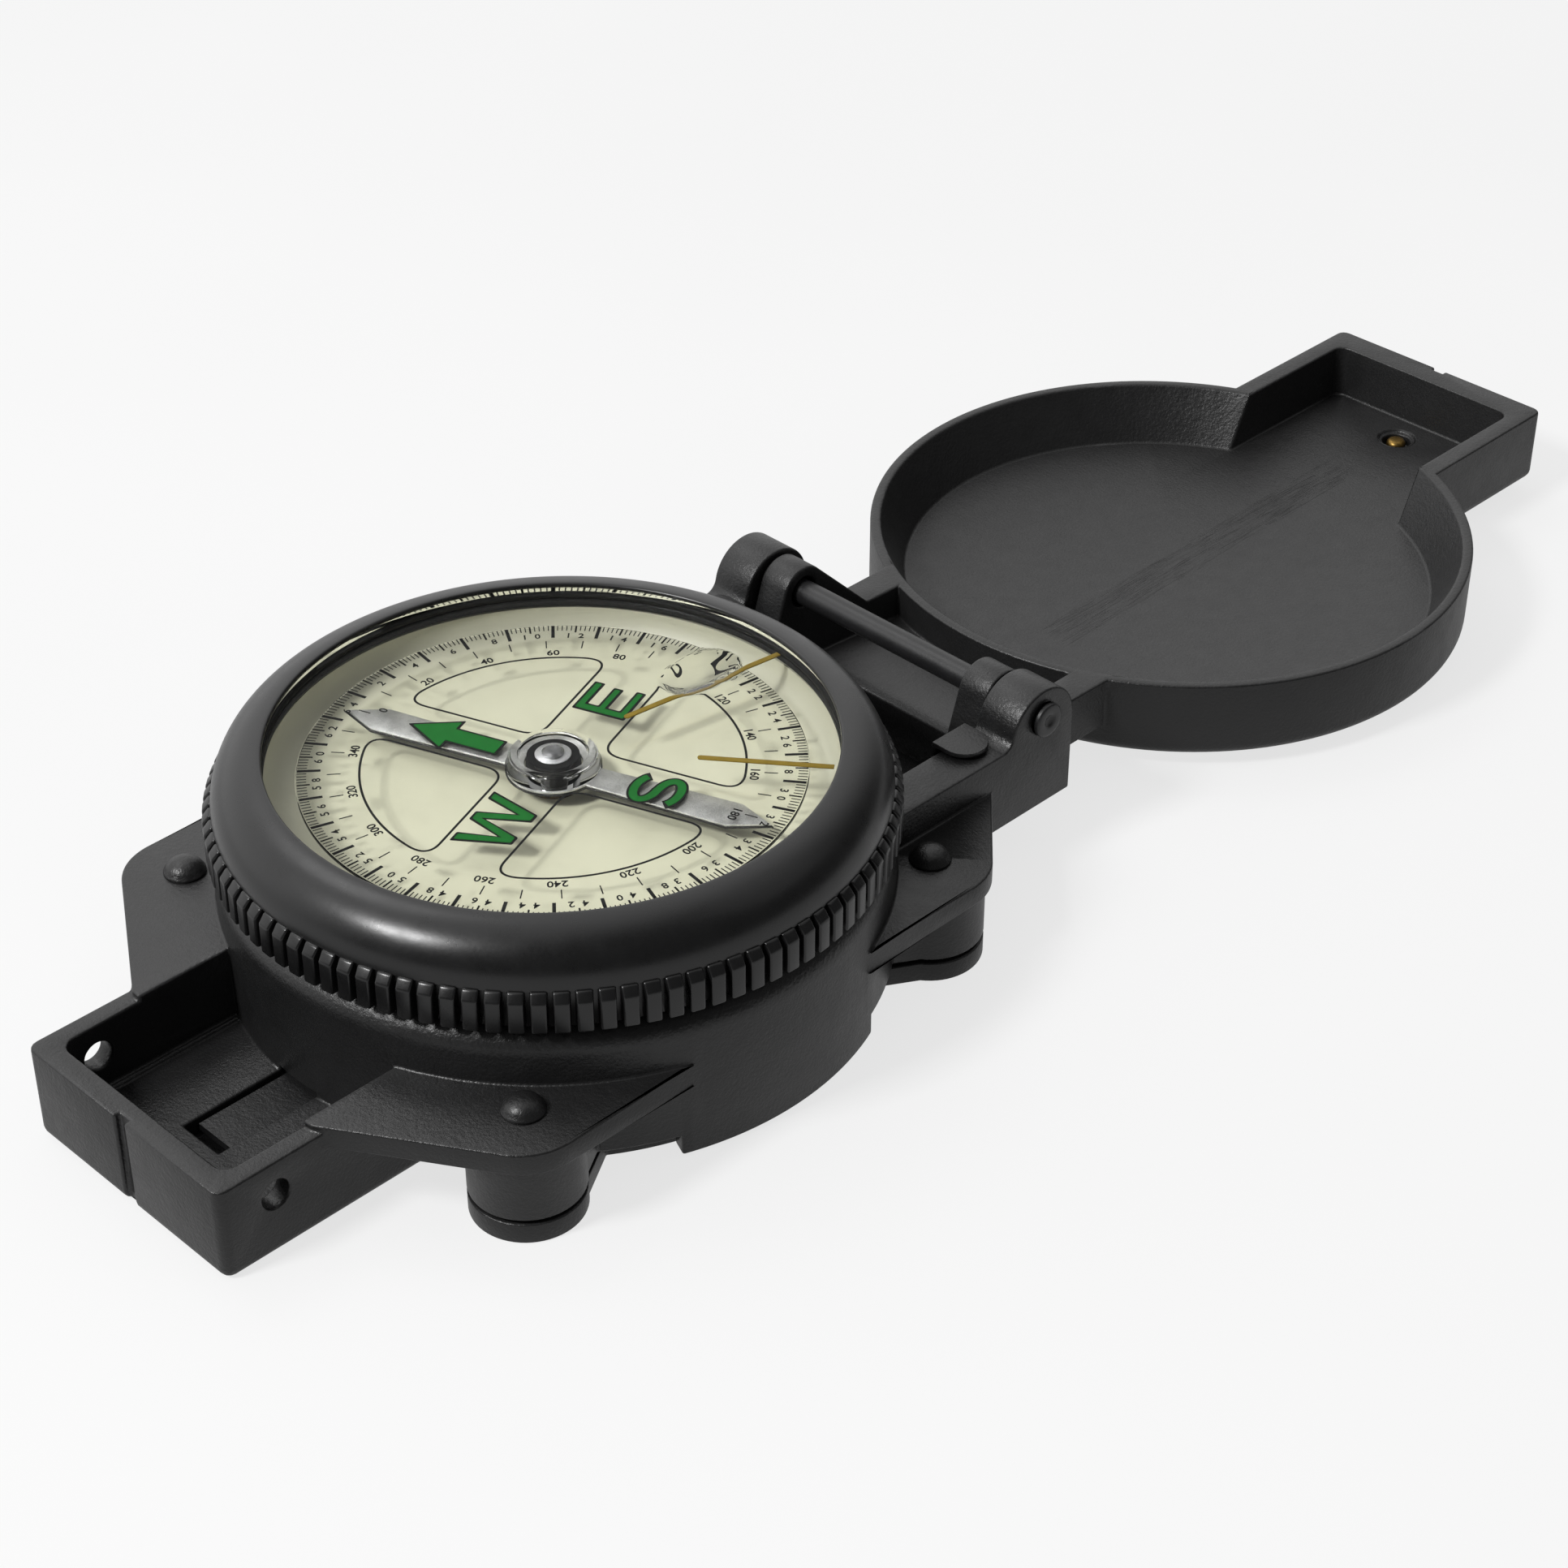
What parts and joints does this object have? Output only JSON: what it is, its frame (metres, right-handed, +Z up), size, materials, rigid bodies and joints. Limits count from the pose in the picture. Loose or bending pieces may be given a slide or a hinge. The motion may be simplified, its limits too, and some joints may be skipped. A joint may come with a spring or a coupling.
{
  "type": "magnetic compass",
  "caption": "Folding magnetic compass: cast case with knurled turning bezel, pivoted dial card under glass with bearing lines, needle lock lever, and a tray lid that swings on a hinge pin.",
  "frame": {"origin": "on the dial's pivot axis, in the plane of the flat underside that the compass stands on", "axes": "+X along the hinge pin, +Y from the sighting box over the dial to the open lid, +Z up along the pivot axis"},
  "size_m": [0.0552, 0.1593, 0.0212],
  "materials": {
    "cast_black": "black coat over a pebbled casting",
    "bezel_black": "smooth half-matt black coat",
    "gasket_black": "matt",
    "clear_glass": "clear",
    "clear_plastic": "clear disc with black print",
    "liner_cream": "cream, satin",
    "bright_steel": "polished",
    "magnet_silver": "fine sparkle",
    "spring_steel": "bright",
    "blackened_steel": "blackened",
    "brass": "turned",
    "line_gold": "luminous strip, dull gold",
    "signal_green": "luminous green"
  },
  "bodies": {
    "case": {"case_body": "cast_black", "bottom_cover": "cast_black", "cover_rivet_front_left": "cast_black", "cover_rivet_front_right": "cast_black", "cover_rivet_rear_left": "cast_black", "cover_rivet_rear_right": "cast_black", "hinge_pin": "blackened_steel", "lid_spring_right": "blackened_steel", "lid_spring_left": "blackened_steel", "bezel_snap_ring": "spring_steel", "bezel_click_spring": "spring_steel", "dial_liner": "liner_cream", "pivot_post": "bright_steel", "lock_lever_pin": "bright_steel", "lock_spring": "spring_steel"},
    "lid": {"lid": "cast_black", "sight_stud": "brass"},
    "bezel": {"bezel": "bezel_black", "crystal": "clear_glass", "crystal_gasket": "gasket_black", "crystal_retainer": "bezel_black", "bearing_line_long": "line_gold", "bearing_line_short": "line_gold"},
    "dial": {"compass_card": "clear_plastic", "magnet_needle": "magnet_silver", "hub_washer": "magnet_silver", "hub_bush": "gasket_black", "hub_button": "bright_steel", "jewel_cup": "brass", "letter_e": "signal_green", "letter_w": "signal_green", "letter_s": "signal_green", "north_arrow": "signal_green"},
    "lock_lever": {"lock_lever": "blackened_steel"},
    "lock_sleeve": {"lock_lifter": "brass"}
  },
  "joints": [
    {"name": "lid_hinge", "type": "hinge", "parent": "case", "child": "lid", "pos_m": [0, 0.03755, 0.0132], "axis": [1, 0, 0], "range_deg": [0, 180]},
    {"name": "bezel_turn", "type": "hinge", "parent": "case", "child": "bezel", "pos_m": [0, 0, 0.0155], "axis": [0, 0, 1], "continuous": true},
    {"name": "dial_turn", "type": "hinge", "parent": "case", "child": "dial", "pos_m": [0, 0, 0.0178], "axis": [0, 0, 1], "continuous": true},
    {"name": "lock_lever_tilt", "type": "hinge", "parent": "case", "child": "lock_lever", "pos_m": [0, -0.0175, 0.0033], "axis": [1, 0, 0], "range_deg": [0, 2.1]},
    {"name": "lock_sleeve_lift", "type": "slide", "parent": "case", "child": "lock_sleeve", "axis": [0, 0, 1], "range_m": [0, 0.00062], "stiffness_N_per_m": 20, "springref_m": -0.002, "deforming": ["lock_spring"]}
  ],
  "couplings": [
    {"joint": "lock_lever_tilt", "follows": "lock_sleeve_lift", "rad_per_m": 57.143}
  ]
}
